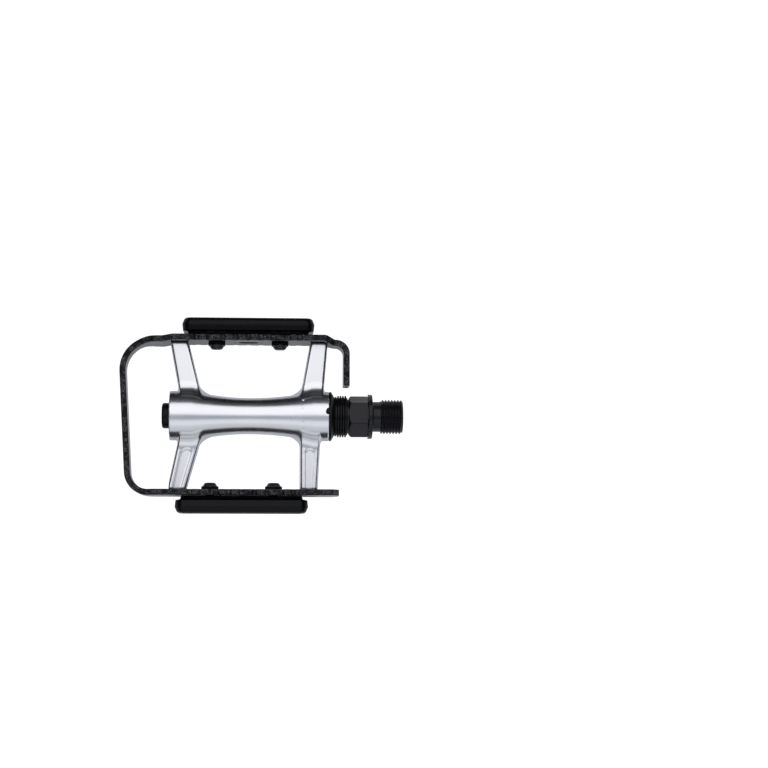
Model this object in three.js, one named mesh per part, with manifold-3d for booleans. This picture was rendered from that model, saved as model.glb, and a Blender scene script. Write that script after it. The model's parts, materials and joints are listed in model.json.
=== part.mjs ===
// Bicycle cage pedal, left side. Millimetres, +X along the axle towards the crank, +Z up.
// The origin is the centre of the axle's flat crank end, on the spin axis.
import * as THREE from 'three';
import { mergeVertices } from 'three/addons/utils/BufferGeometryUtils.js';
import Module from 'manifold-3d';

const wasm = await Module();
wasm.setup();

// ---- driving dimensions ----

const seatGap = 0.1; // between pieces that are pressed, screwed or clamped together
const joinGap = 0.15; // between flat faces that bear on each other
const raceGap = 0.12; // between the balls and their races
const roundSides = 24;
const barrelSides = 28;
const smallSides = 12;

// Places along the axle, from the crank end.
const threadStart = -9.5;
const collarFace = -12.7;
const hexStart = -14.3;
const hexEnd = -22.0;
const sleeveStart = -23.1;
const flangeStart = -28.3;
const barrelStart = -30.5;
const barrelEnd = -95.9;
const capEnd = -99.0;

const thread = { radius: 7.14, neckRadius: 6.2, chamfer: 0.8 };
const collar = { radius: 9.15, edge: 0.25 };
const wrenchHex = { acrossFlats: 15, turn: 24 };
const journal = { sealRadius: 6.3, shoulderRadius: 7.0, shaftRadius: 4.15, screwRadius: 4.0, end: -94.8 };
const keyway = { width: 1.8, depth: 0.9, length: 7.5 };

const barrel = { endRadius: 10.17, waistRadius: 7.45, waistX: -63.2, edge: 0.35, boreRadius: 5.8 };
const bossInner = { outboard: -86.4, inboard: -37.1 }; // where the two plain bosses meet the waist

const inboardBearing = { x: -37.5, pitchRadius: 6.3, ballRadius: 1.984, balls: 8, cupRadius: 8.8 };
const outboardBearing = { x: -85.0, pitchRadius: 5.9, ballRadius: 1.5875, balls: 9, cupRadius: 8.5 };
const cupWall = 0.4;
const retainer = { width: 1.2, height: 0.9 };

const cone = { radius: 6.6, back: -90.1 };
const lockWasher = { radius: 6.8, thickness: 0.9 };
const lockNut = { acrossFlats: 12, thickness: 2.8 };

const dustCap = { bossRadius: 5.25, rim: 0.9, hollowRadius: 4.4, plugRadius: 8.5, skirt: 1.0, disc: 1.2, reach: 3.1 };
const sleeve = { boreRadius: 6.7, rootRadius: 7.6, ribRadius: 8.3, flangeRadius: 10.3, ribs: 5, plugRadius: 8.6, plug: 2.9 };
const locator = { radius: 1.1, y: 2.9, clearance: 0.3 };

const strip = { thickness: 2.5, plateHalf: 10, loopHalf: 5.5, valleyHalf: 9.1, dipHalf: 8.6 };
const plateY = 31.65; // middle of the strip at both plates
const armTipY = plateY - strip.thickness / 2 - joinGap;

// Arms: middle and width in X at the barrel and at the plate; side is +1 in front, -1 behind.
const arms = [
  { name: 'front_outboard', side: 1, rootX: -87.4, rootWidth: 9.2, tipX: -92.1, tipWidth: 7.7, inner: 1 },
  { name: 'front_inboard', side: 1, rootX: -37.5, rootWidth: 9.5, tipX: -34.7, tipWidth: 7.4, inner: -1 },
  { name: 'rear_outboard', side: -1, rootX: -87.3, rootWidth: 9.6, tipX: -92.6, tipWidth: 8.0, inner: 1 },
  { name: 'rear_inboard', side: -1, rootX: -38.2, rootWidth: 8.6, tipX: -38.7, tipWidth: 7.5, inner: -1 },
];
const armShape = {
  rootY: 9, half: 3.5, draft: 0.8, filletY: 12.5, innerFillet: 3.2, outerFillet: 1.5,
  crown: [[0, 7.2], [7.6, 6.7], [9.5, 5.1], [11.5, 4], [14.3, 3.5]], // top of the root, |Y| and height
};
const cageScrew = { headRadius: 3.2, headDepth: 1.6, shankRadius: 1.9, length: 9 };

// Reflectors: one bolted outside each plate.
const reflectors = [
  { name: 'front', side: 1, x: -63.8 },
  { name: 'rear', side: -1, x: -66.1 },
];
const housing = { length: 53.8, base: 48.9, baseDepth: 1.7, depth: 5.2, half: 8.5, baseHalf: 6.5, corner: 4, edge: 0.8 };
const lens = { length: 48, half: 6, depth: 1.9, pocket: 2.2, corner: 2.5 };
const stud = { spacing: 26, radius: 2, headRadius: 3.4, headDepth: 1.4, reach: 4.1 };
const nut = { acrossFlats: 7, hexDepth: 2.4, collarRadius: 2.7, collarDepth: 0.9 };

// Teeth on the plates' edges, as spans measured each way from the reflector's middle.
const teeth = [[0.9, 4.4], [6.1, 9.3], [17.1, 20.0]];
const plateShoulder = 22.2;
const toothFlank = 0.5;
const plateSlot = { length: 8.3, height: 4.6, holeX: 5.4, holeRadius: 0.7 };

// ---- solids ----

function solidOf(geometry) {
  const bare = geometry.index ? geometry.toNonIndexed() : geometry.clone();
  bare.deleteAttribute('normal');
  bare.deleteAttribute('uv');
  const merged = mergeVertices(bare, 1e-5);
  const kept = [];
  const index = merged.index.array;
  for (let i = 0; i < index.length; i += 3) {
    const [a, b, c] = [index[i], index[i + 1], index[i + 2]];
    if (a !== b && b !== c && c !== a) kept.push(a, b, c);
  }
  return new wasm.Manifold(new wasm.Mesh({
    numProp: 3,
    vertProperties: new Float32Array(merged.attributes.position.array),
    triVerts: new Uint32Array(kept),
  }));
}

function pieceOf(name, solid, material) {
  const { vertProperties, triVerts } = solid.getMesh();
  const geometry = new THREE.BufferGeometry();
  geometry.setAttribute('position', new THREE.BufferAttribute(new Float32Array(vertProperties), 3));
  geometry.setIndex(new THREE.BufferAttribute(new Uint32Array(triVerts), 1));
  geometry.computeVertexNormals();
  const mesh = new THREE.Mesh(geometry, material.clone());
  mesh.name = name;
  return mesh;
}

// A solid turned about X, from [x, radius] points: they start and end on the axis,
// or go once round the section of a ring.
function turned(points, sides = roundSides) {
  const outline = points.map(([x, r]) => new THREE.Vector2(r, x));
  const isRing = points[0][1] > 0;
  if (isRing) outline.push(outline[0].clone());
  if (THREE.ShapeUtils.area(outline) < 0) outline.reverse();
  return solidOf(new THREE.LatheGeometry(outline, sides).rotateZ(-Math.PI / 2));
}

// A flat outline pulled along an axis, from one coordinate to another. The outline is
// drawn in XY for axis z, XZ for axis y and YZ for axis x.
function slab(shape, axis, from, to) {
  const geometry = new THREE.ExtrudeGeometry(shape, { depth: to - from, bevelEnabled: false, curveSegments: 3 });
  if (axis === 'z') return solidOf(geometry.translate(0, 0, from));
  const x = new THREE.Vector3(1, 0, 0);
  const y = new THREE.Vector3(0, 1, 0);
  const z = new THREE.Vector3(0, 0, 1);
  if (axis === 'y') {
    geometry.applyMatrix4(new THREE.Matrix4().makeBasis(x, z, y.clone().negate()));
    return solidOf(geometry.translate(0, to, 0));
  }
  geometry.applyMatrix4(new THREE.Matrix4().makeBasis(y, z, x));
  return solidOf(geometry.translate(from, 0, 0));
}

function polygon(points) {
  return new THREE.Shape(points.map(([a, b]) => new THREE.Vector2(a, b)));
}

function block(x, y, z, sizeX, sizeY, sizeZ) {
  return solidOf(new THREE.BoxGeometry(sizeX, sizeY, sizeZ).translate(x, y, z));
}

// A round bar along Y.
function barY(x, z, radius, fromY, toY, sides = smallSides) {
  const bar = new THREE.CylinderGeometry(radius, radius, Math.abs(toY - fromY), sides);
  return solidOf(bar.translate(x, (fromY + toY) / 2, z));
}

function hexX(acrossFlats, from, to, turnDegrees = 0) {
  const bar = new THREE.CylinderGeometry(acrossFlats / Math.sqrt(3), acrossFlats / Math.sqrt(3), to - from, 6);
  bar.rotateZ(-Math.PI / 2).rotateX(THREE.MathUtils.degToRad(turnDegrees)).translate((from + to) / 2, 0, 0);
  return solidOf(bar);
}

function roundedRectangle(middleX, halfX, halfZ, corner) {
  const shape = new THREE.Shape();
  const [left, right, low, high] = [middleX - halfX, middleX + halfX, -halfZ, halfZ];
  shape.moveTo(left + corner, low);
  shape.lineTo(right - corner, low);
  shape.absarc(right - corner, low + corner, corner, -Math.PI / 2, 0);
  shape.lineTo(right, high - corner);
  shape.absarc(right - corner, high - corner, corner, 0, Math.PI / 2);
  shape.lineTo(left + corner, high);
  shape.absarc(left + corner, high - corner, corner, Math.PI / 2, Math.PI);
  shape.lineTo(left, low + corner);
  shape.absarc(left + corner, low + corner, corner, Math.PI, Math.PI * 1.5);
  return shape;
}

// ---- axle and bearings ----

// How far along X, and along the radius, a race lies from the middle of its balls at 45 degrees.
function raceOffset(bearing) {
  return (bearing.ballRadius + raceGap) * Math.SQRT1_2;
}

function makeAxle() {
  const offset = raceOffset(inboardBearing);
  const raceX = inboardBearing.x + offset;
  const raceRadius = inboardBearing.pitchRadius - offset;
  const raceFoot = raceX + journal.shaftRadius - raceRadius;
  const raceTop = raceX + journal.sealRadius - raceRadius;
  const screwEnd = outboardBearing.x + 4;
  const spindle = turned([
    [journal.end, 0],
    [journal.end, journal.screwRadius - 0.5],
    [journal.end + 0.5, journal.screwRadius],
    [screwEnd, journal.screwRadius],
    [screwEnd + 1, journal.shaftRadius],
    [raceFoot, journal.shaftRadius],
    [raceTop, journal.sealRadius],
    [hexEnd - 0.9, journal.sealRadius],
    [hexEnd - 0.9, journal.shoulderRadius],
    [hexStart, journal.shoulderRadius],
    [hexStart, collar.radius],
    [collarFace - collar.edge, collar.radius],
    [collarFace, collar.radius - collar.edge],
    [collarFace, thread.neckRadius],
    [threadStart - 0.6, thread.neckRadius],
    [threadStart, thread.radius],
    [-thread.chamfer, thread.radius],
    [0, thread.radius - thread.chamfer],
    [0, 0],
  ]);
  const corner = wrenchHex.acrossFlats / Math.sqrt(3);
  const flat = wrenchHex.acrossFlats / 2;
  const hexLimit = turned([
    [hexEnd, 0],
    [hexEnd, flat],
    [hexEnd + 0.8, corner],
    [hexStart - 0.4, corner],
    [hexStart + 0.4, flat],
    [hexStart + 0.4, 0],
  ]);
  const hex = hexX(wrenchHex.acrossFlats, hexEnd - 1, hexStart + 0.2, wrenchHex.turn).intersect(hexLimit);
  const slotMiddle = journal.end + keyway.length / 2;
  const slot = block(slotMiddle, 0, journal.screwRadius, keyway.length + 1, keyway.width, keyway.depth * 2);
  return spindle.add(hex).subtract(slot);
}

function makeOutboardCone() {
  const offset = raceOffset(outboardBearing);
  const bore = journal.screwRadius + seatGap;
  const nose = bore + 0.15;
  const raceX = outboardBearing.x - offset;
  const raceRadius = outboardBearing.pitchRadius - offset;
  return turned([
    [raceX + raceRadius - nose, bore],
    [raceX + raceRadius - nose, nose],
    [raceX + raceRadius - cone.radius, cone.radius],
    [cone.back, cone.radius],
    [cone.back, bore],
  ]);
}

const washerStart = cone.back - seatGap;
const nutStart = washerStart - lockWasher.thickness - seatGap;

function makeLockWasher() {
  const bore = journal.screwRadius + seatGap;
  const back = washerStart - lockWasher.thickness;
  const ring = turned([[back, bore], [back, lockWasher.radius], [washerStart, lockWasher.radius], [washerStart, bore]]);
  const tongueTop = bore + 1;
  const tongueFoot = journal.screwRadius - keyway.depth + 0.2;
  const tongueMiddle = (back + washerStart) / 2;
  return ring.add(block(
    tongueMiddle, 0, (tongueTop + tongueFoot) / 2,
    lockWasher.thickness, keyway.width - 0.4, tongueTop - tongueFoot,
  ));
}

function makeLockNut() {
  const bore = journal.screwRadius + seatGap;
  const end = nutStart - lockNut.thickness;
  const hole = turned([[end - 1, 0], [end - 1, bore], [nutStart + 1, bore], [nutStart + 1, 0]]);
  return hexX(lockNut.acrossFlats, end, nutStart).subtract(hole);
}

// Balls held in a thin pressed retainer.
function makeBalls(bearing) {
  const { x, pitchRadius } = bearing;
  const [low, high] = [pitchRadius - retainer.height / 2, pitchRadius + retainer.height / 2];
  const [back, front] = [x - retainer.width / 2, x + retainer.width / 2];
  let set = turned([[back, low], [back, high], [front, high], [front, low]]);
  for (let i = 0; i < bearing.balls; i += 1) {
    const turn = (i / bearing.balls) * Math.PI * 2;
    const ball = new THREE.SphereGeometry(bearing.ballRadius, 8, 6);
    ball.translate(x, pitchRadius * Math.cos(turn), pitchRadius * Math.sin(turn));
    set = set.add(solidOf(ball));
  }
  return set;
}

// A pressed cup: its race faces the balls, which a cone holds in from the pedal's end.
// Towards the middle is +1 or -1 along X.
function makeCup(bearing, inward) {
  const offset = raceOffset(bearing);
  const wall = bearing.cupRadius - cupWall;
  const hole = bearing.pitchRadius - 0.2;
  const raceX = bearing.x + inward * offset;
  const raceRadius = bearing.pitchRadius + offset;
  const back = raceX + inward * (raceRadius - hole + 0.4);
  const front = bearing.x - inward * (bearing.ballRadius + 0.7);
  return turned([
    [back, hole],
    [raceX + inward * (raceRadius - hole), hole],
    [raceX + inward * (raceRadius - wall), wall],
    [front, wall],
    [front, bearing.cupRadius],
    [back, bearing.cupRadius],
  ]);
}

function cupBack(bearing, inward) {
  const offset = raceOffset(bearing);
  return bearing.x + inward * (offset * 2 + 0.6 + seatGap);
}

// ---- pedal body ----

// The barrel's outside: two plain bosses and a waist that narrows as a parabola each way.
function barrelOutline() {
  const { endRadius, waistRadius, waistX, edge } = barrel;
  const outline = [[barrelEnd, 0], [barrelEnd, endRadius - edge], [barrelEnd + edge, endRadius]];
  const steps = 10;
  for (let i = 0; i <= steps; i += 1) {
    const x = THREE.MathUtils.lerp(bossInner.outboard, bossInner.inboard, i / steps);
    const span = x < waistX ? bossInner.outboard - waistX : bossInner.inboard - waistX;
    outline.push([x, waistRadius + (endRadius - waistRadius) * ((x - waistX) / span) ** 2]);
  }
  outline.push([barrelStart, endRadius], [barrelStart, 0]);
  return outline;
}

function makeArm(arm) {
  const { rootY, half, draft, filletY, innerFillet, outerFillet, crown } = armShape;
  const s = arm.side;
  const edgeAt = (hand, y) => {
    const t = (y - rootY) / (armTipY - rootY);
    const middle = THREE.MathUtils.lerp(arm.rootX, arm.tipX, t);
    return middle + hand * THREE.MathUtils.lerp(arm.rootWidth, arm.tipWidth, t) / 2;
  };
  const [near, far] = [arm.inner, -arm.inner];
  const plan = new THREE.Shape();
  plan.moveTo(edgeAt(near, armTipY), s * armTipY);
  plan.lineTo(edgeAt(near, filletY), s * filletY);
  const nearFoot = edgeAt(near, rootY) + near * innerFillet;
  plan.quadraticCurveTo(edgeAt(near, rootY), s * rootY, nearFoot, s * (rootY - 0.6));
  plan.lineTo(nearFoot, s * 3);
  const farFoot = edgeAt(far, rootY) + far * outerFillet;
  plan.lineTo(farFoot, s * 3);
  plan.lineTo(farFoot, s * (rootY - 0.3));
  plan.quadraticCurveTo(edgeAt(far, rootY), s * rootY, edgeAt(far, rootY + 2), s * (rootY + 2));
  plan.lineTo(edgeAt(far, armTipY), s * armTipY);
  const drafted = solidOf(new THREE.ExtrudeGeometry(plan, {
    depth: 2, bevelThickness: 7, bevelSize: draft, bevelOffset: -draft, bevelSegments: 1, curveSegments: 4,
  }).translate(0, 0, -1));
  const top = [...crown, [armTipY - draft * 0.2, half]];
  const bottom = top.map(([y, z]) => [y, -z]).reverse();
  const sides = slab(polygon([...top, ...bottom].map(([y, z]) => [s * y, z])), 'x', arm.tipX - 20, arm.tipX + 20);
  return drafted.intersect(sides);
}

function makeBody() {
  let body = turned(barrelOutline(), barrelSides);
  for (const arm of arms) body = body.add(makeArm(arm));
  const cupSeat = cupBack(inboardBearing, -1);
  const farCupSeat = cupBack(outboardBearing, 1);
  const bore = turned([
    [barrelEnd - 1, 0],
    [barrelEnd - 1, outboardBearing.cupRadius + seatGap],
    [farCupSeat, outboardBearing.cupRadius + seatGap],
    [farCupSeat, barrel.boreRadius],
    [cupSeat, barrel.boreRadius],
    [cupSeat, inboardBearing.cupRadius + seatGap],
    [barrelStart + 1, inboardBearing.cupRadius + seatGap],
    [barrelStart + 1, 0],
  ], barrelSides);
  body = body.subtract(bore).subtract(locatorPin(locator.radius + locator.clearance, 0.6));
  body = body.subtract(slab(stripOutline(joinGap), 'z', -strip.plateHalf - 1, strip.plateHalf + 1));
  for (const arm of arms) {
    const holeDepth = plateY + strip.thickness / 2 - cageScrew.length - 0.5;
    const radius = cageScrew.shankRadius + seatGap;
    body = body.subtract(barY(arm.tipX, 0, radius, arm.side * holeDepth, arm.side * (plateY + 1)));
  }
  return body;
}

// The seal's locating stub, upright at the barrel's end.
function locatorPin(radius, lowered) {
  const pin = new THREE.CylinderGeometry(radius, radius, 3, smallSides);
  return solidOf(pin.rotateX(Math.PI / 2).translate(barrelStart, locator.y, barrel.endRadius - 0.4 - lowered));
}

function makeAxleSeal() {
  const { boreRadius, rootRadius, ribRadius, flangeRadius, plugRadius, plug, ribs } = sleeve;
  const outline = [
    [barrelStart - plug, boreRadius],
    [barrelStart - plug, plugRadius],
    [barrelStart + 0.1, plugRadius],
    [barrelStart + 0.1, flangeRadius - 0.2],
    [barrelStart + 0.8, flangeRadius],
    [flangeStart, rootRadius],
  ];
  const pitch = (sleeveStart - flangeStart) / ribs;
  for (let i = 0; i < ribs; i += 1) {
    const x = flangeStart + i * pitch;
    outline.push([x + pitch * 0.5, ribRadius], [x + pitch, rootRadius]);
  }
  outline.push([sleeveStart, boreRadius]);
  const stub = locatorPin(locator.radius, 0.1).intersect(turned([
    [barrelStart - 2, inboardBearing.cupRadius + 2 * seatGap],
    [barrelStart - 2, barrel.endRadius - 0.05],
    [barrelStart + 0.4, barrel.endRadius - 0.05],
    [barrelStart + 0.4, inboardBearing.cupRadius + 2 * seatGap],
  ]));
  return turned(outline).add(stub);
}

function makeDustCap() {
  const { bossRadius, rim, hollowRadius, plugRadius, skirt, disc, reach } = dustCap;
  const outline = [
    [capEnd, 0],
    [capEnd, bossRadius - rim],
    [capEnd + rim * 0.3, bossRadius - rim * 0.3],
    [capEnd + rim, bossRadius],
    [barrelEnd, bossRadius],
    [barrelEnd, plugRadius],
    [barrelEnd + reach, plugRadius],
    [barrelEnd + reach, plugRadius - skirt],
    [barrelEnd + disc, plugRadius - skirt],
    [barrelEnd + disc, hollowRadius],
    [capEnd + 1.2, hollowRadius],
    [capEnd + 1.2, 0],
  ];
  return turned(outline);
}

// ---- cage ----

// Corners of the strip's middle line and the radius of each bend, from the hook's tip,
// along the front plate, round the outboard loop and back along the rear plate.
const cageRoute = [
  { x: -23.55, y: 11.4 },
  { x: -23.55, y: 30.1, bend: 4.6 },
  { x: -28.6, y: 30.1, bend: 2 },
  { x: -32.4, y: plateY, bend: 2 },
  { x: -94.6, y: plateY, bend: 3 },
  { x: -98.8, y: 30.85, bend: 3 },
  { x: -115.8, y: 30.85, bend: 12.3 },
  { x: -112.6, y: -plateY, bend: 8.75 },
  { x: -26.4, y: -plateY },
];

// Points along the route, with each corner turned into an arc.
function routePoints() {
  const points = [];
  cageRoute.forEach((corner, i) => {
    const here = new THREE.Vector2(corner.x, corner.y);
    if (!corner.bend) {
      points.push(here);
      return;
    }
    const before = new THREE.Vector2(cageRoute[i - 1].x, cageRoute[i - 1].y).sub(here).normalize();
    const after = new THREE.Vector2(cageRoute[i + 1].x, cageRoute[i + 1].y).sub(here).normalize();
    const half = Math.acos(THREE.MathUtils.clamp(before.dot(after), -1, 1)) / 2;
    const reach = corner.bend / Math.tan(half);
    const middle = before.clone().add(after).normalize().multiplyScalar(corner.bend / Math.sin(half)).add(here);
    const start = here.clone().addScaledVector(before, reach).sub(middle);
    const sweep = Math.PI - 2 * half;
    const hand = Math.sign(before.cross(after)) * -1;
    const steps = Math.max(2, Math.ceil(sweep / 0.26));
    for (let k = 0; k <= steps; k += 1) {
      points.push(start.clone().rotateAround(new THREE.Vector2(), hand * sweep * (k / steps)).add(middle));
    }
  });
  return points;
}

// The strip's outline seen from above: the middle line moved half a thickness each way.
function stripOutline(grow = 0) {
  const points = routePoints();
  const normals = points.map((point, i) => {
    const before = points[Math.max(i - 1, 0)];
    const after = points[Math.min(i + 1, points.length - 1)];
    const along = after.clone().sub(before).normalize();
    return new THREE.Vector2(-along.y, along.x);
  });
  const half = strip.thickness / 2 + grow;
  const left = points.map((point, i) => point.clone().addScaledVector(normals[i], half));
  const right = points.map((point, i) => point.clone().addScaledVector(normals[i], -half));
  return new THREE.Shape([...left, ...right.reverse()]);
}

// Top edge of one plate in XZ, from the loop to the crank side.
function plateEdge(middleX, shoulderX, endX) {
  const half = [];
  for (const [from, to] of teeth) {
    const floor = from > 10 ? strip.dipHalf : strip.valleyHalf;
    half.push([from - toothFlank / 2, floor], [from + toothFlank / 2, strip.plateHalf]);
    const nextFloor = to > 9 && to < 10 ? strip.dipHalf : strip.valleyHalf;
    half.push([to - toothFlank / 2, strip.plateHalf], [to + toothFlank / 2, nextFloor]);
  }
  half.push([plateShoulder - toothFlank, strip.valleyHalf], [plateShoulder, strip.plateHalf]);
  const rising = half.map(([d, z]) => [middleX + d, z]);
  const falling = half.map(([d, z]) => [middleX - d, z]).reverse();
  return [
    [-130, strip.loopHalf], [-109.5, strip.loopHalf], [-107.5, strip.loopHalf + 0.6], [-103.5, strip.plateHalf - 0.6],
    [-101, strip.plateHalf], ...falling, ...rising,
    [shoulderX, strip.plateHalf], [endX, strip.loopHalf + 0.5], [-10, strip.loopHalf + 0.5],
  ];
}

// What is cut away above and below one plate.
function edgeCutters(middleX, shoulderX, endX, fromY, toY) {
  const edge = plateEdge(middleX, shoulderX, endX);
  return [1, -1].map((up) => {
    const outline = edge.map(([x, z]) => [x, z * up]);
    return slab(polygon([...outline, [-10, 15 * up], [-130, 15 * up]]), 'y', fromY, toY);
  });
}

function screwSolid(arm, grow) {
  const outer = plateY + strip.thickness / 2;
  const sink = new THREE.CylinderGeometry(
    cageScrew.headRadius + grow, cageScrew.shankRadius + grow, cageScrew.headDepth, smallSides,
  );
  sink.translate(0, outer - cageScrew.headDepth / 2, 0);
  const shank = new THREE.CylinderGeometry(
    cageScrew.shankRadius + grow, cageScrew.shankRadius + grow, cageScrew.length - 1, smallSides,
  );
  shank.translate(0, outer - 1 - (cageScrew.length - 1) / 2, 0);
  const lift = new THREE.Matrix4().makeTranslation(arm.tipX, 0, 0);
  const turn = new THREE.Matrix4().makeRotationX(arm.side > 0 ? 0 : Math.PI);
  const place = lift.multiply(turn);
  return solidOf(sink.applyMatrix4(place)).add(solidOf(shank.applyMatrix4(place)));
}

function makeCage() {
  let cage = slab(stripOutline(), 'z', -strip.plateHalf, strip.plateHalf);
  const cutters = [
    ...edgeCutters(reflectors[0].x, -31.7, -28.5, 0, 40),
    ...edgeCutters(reflectors[1].x, -29, -26.4, -40, 0),
  ];
  for (const cutter of cutters) cage = cage.subtract(cutter);
  for (const arm of arms) cage = cage.subtract(screwSolid(arm, 0.12));
  for (const reflector of reflectors) {
    const [from, to] = [reflector.side * 28, reflector.side * 35];
    for (const hand of [-1, 1]) {
      const x = reflector.x + hand * stud.spacing / 2;
      cage = cage.subtract(barY(x, 0, stud.radius + 0.2, from, to));
      cage = cage.subtract(barY(reflector.x + hand * plateSlot.holeX, 0, plateSlot.holeRadius, from, to, 6));
    }
    cage = cage.subtract(block(reflector.x, reflector.side * plateY, 0, plateSlot.length, 6, plateSlot.height));
  }
  return cage;
}

// ---- reflectors ----

const plateFace = plateY + strip.thickness / 2 + joinGap;
const wideFace = plateFace + housing.baseDepth;
const outerFace = wideFace + housing.depth;
const pocketFloor = outerFace - lens.pocket;

// A slab from one distance to another outside a plate, on either side of the axle.
function outside(shape, side, from, to) {
  return side > 0 ? slab(shape, 'y', from, to) : slab(shape, 'y', -to, -from);
}

function makeHousing({ x, side }) {
  const { length, base, half, baseHalf, corner, edge } = housing;
  const foot = outside(roundedRectangle(x, base / 2, baseHalf, corner - 1), side, plateFace, wideFace + 1);
  const middle = outside(roundedRectangle(x, length / 2, half, corner), side, wideFace + edge, outerFace - edge);
  const face = outside(roundedRectangle(x, length / 2 - edge, half - edge, corner - edge), side, wideFace, outerFace);
  const pocket = outside(roundedRectangle(x, lens.length / 2, lens.half, lens.corner), side, pocketFloor, outerFace + 1);
  let shell = foot.add(middle).add(face).subtract(pocket);
  for (const hand of [-1, 1]) {
    const studX = x + hand * stud.spacing / 2;
    shell = shell.subtract(barY(studX, 0, stud.radius + seatGap, side * (plateFace - 1), side * outerFace));
    const seat = pocketFloor - stud.headDepth - 0.2;
    shell = shell.subtract(barY(studX, 0, stud.headRadius + seatGap, side * seat, side * outerFace));
  }
  return shell;
}

function makeLens({ x, side }) {
  const shape = roundedRectangle(x, lens.length / 2 - 0.2, lens.half - 0.2, lens.corner - 0.2);
  return outside(shape, side, pocketFloor + 0.1, pocketFloor + 0.1 + lens.depth);
}

function makeStud({ x, side }, hand) {
  const studX = x + hand * stud.spacing / 2;
  const head = pocketFloor - 0.1;
  const tip = plateY - strip.thickness / 2 - stud.reach;
  const shank = barY(studX, 0, stud.radius, side * tip, side * (head - 0.5));
  return shank.add(barY(studX, 0, stud.headRadius, side * (head - stud.headDepth), side * head));
}

// A hexagon with a narrower round collar on the side away from the plate.
function makeNut({ x, side }, hand) {
  const nutX = x + hand * stud.spacing / 2;
  const seat = plateY - strip.thickness / 2 - seatGap;
  const hexRadius = nut.acrossFlats / Math.sqrt(3);
  const hex = new THREE.CylinderGeometry(hexRadius, hexRadius, nut.hexDepth, 6);
  hex.translate(nutX, side * (seat - nut.hexDepth / 2), 0);
  const end = seat - nut.hexDepth - nut.collarDepth;
  const collarRing = barY(nutX, 0, nut.collarRadius, side * end, side * (seat - 0.5));
  const hole = barY(nutX, 0, stud.radius + seatGap, side * (end - 1), side * (seat + 1));
  return solidOf(hex).add(collarRing).subtract(hole);
}

// ---- materials ----

function finish(color, roughness, metalness) {
  return new THREE.MeshStandardMaterial({ color, roughness, metalness });
}

const forgedAluminium = finish(0xc9ccd2, 0.3, 1);
const blackSteel = finish(0x141416, 0.35, 0.6);
const axleSteel = finish(0x1b1b1e, 0.4, 0.8);
const bearingSteel = finish(0xb9bbbf, 0.2, 1);
const blackPlastic = finish(0x0d0d0f, 0.45, 0);
const blackRubber = finish(0x101012, 0.7, 0);
const glossHousing = finish(0x0a0a0c, 0.2, 0);
const amberLens = finish(0xd66a08, 0.1, 0);

// ---- assembly ----

const pedal = new THREE.Group();

pedal.add(pieceOf('axle', makeAxle(), axleSteel));
pedal.add(pieceOf('outboard_cone', makeOutboardCone(), bearingSteel));
pedal.add(pieceOf('lock_washer', makeLockWasher(), bearingSteel));
pedal.add(pieceOf('lock_nut', makeLockNut(), bearingSteel));
pedal.add(pieceOf('inboard_balls', makeBalls(inboardBearing), bearingSteel));
pedal.add(pieceOf('outboard_balls', makeBalls(outboardBearing), bearingSteel));
pedal.add(pieceOf('inboard_cup', makeCup(inboardBearing, -1), bearingSteel));
pedal.add(pieceOf('outboard_cup', makeCup(outboardBearing, 1), bearingSteel));
pedal.add(pieceOf('body', makeBody(), forgedAluminium));
pedal.add(pieceOf('axle_seal', makeAxleSeal(), blackRubber));
pedal.add(pieceOf('dust_cap', makeDustCap(), blackPlastic));
pedal.add(pieceOf('cage', makeCage(), blackSteel));

for (const arm of arms) {
  pedal.add(pieceOf(`cage_screw_${arm.name}`, screwSolid(arm, 0), blackSteel));
}

for (const reflector of reflectors) {
  pedal.add(pieceOf(`${reflector.name}_reflector_housing`, makeHousing(reflector), glossHousing));
  pedal.add(pieceOf(`${reflector.name}_reflector_lens`, makeLens(reflector), amberLens));
  for (const [place, hand] of [['outboard', -1], ['inboard', 1]]) {
    pedal.add(pieceOf(`${reflector.name}_stud_${place}`, makeStud(reflector, hand), bearingSteel));
    pedal.add(pieceOf(`${reflector.name}_nut_${place}`, makeNut(reflector, hand), blackSteel));
  }
}

export default pedal;
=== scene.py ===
# Bicycle cage pedal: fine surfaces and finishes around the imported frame. Metres in Blender,
# millimetres in the dictionaries and shape functions.
import json
import math

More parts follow.
